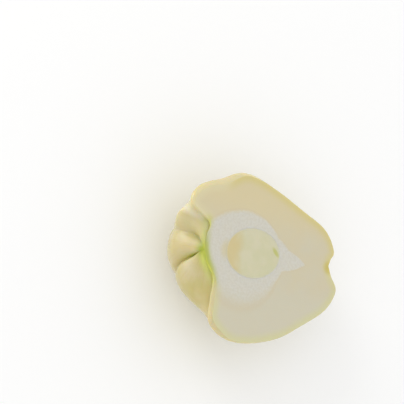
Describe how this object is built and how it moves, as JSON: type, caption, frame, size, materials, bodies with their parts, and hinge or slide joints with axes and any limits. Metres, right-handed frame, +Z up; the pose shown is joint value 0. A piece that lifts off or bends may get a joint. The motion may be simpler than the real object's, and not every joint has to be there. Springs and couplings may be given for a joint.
{
  "type": "halved chayote squash",
  "caption": "Half of a pale pear-shaped chayote squash, cut lengthwise through its flat seed, lying on its lobed back with the cut face up.",
  "frame": {"origin": "centre of the bounding box's base, on the floor that the half lies on", "axes": "+X along the fruit from the puckered blossom end to the stem end, +Y across the cut face, +Z up"},
  "size_m": [0.1112, 0.0968, 0.0526],
  "materials": {
    "skin_and_flesh": "smooth, softly shining pale yellow skin and moist cream flesh",
    "seed": "moist, pale cream cut seed with a tan tint at its blunt end"
  },
  "bodies": {
    "root": {"flesh_half": "skin_and_flesh", "seed_half": "seed"}
  },
  "joints": []
}
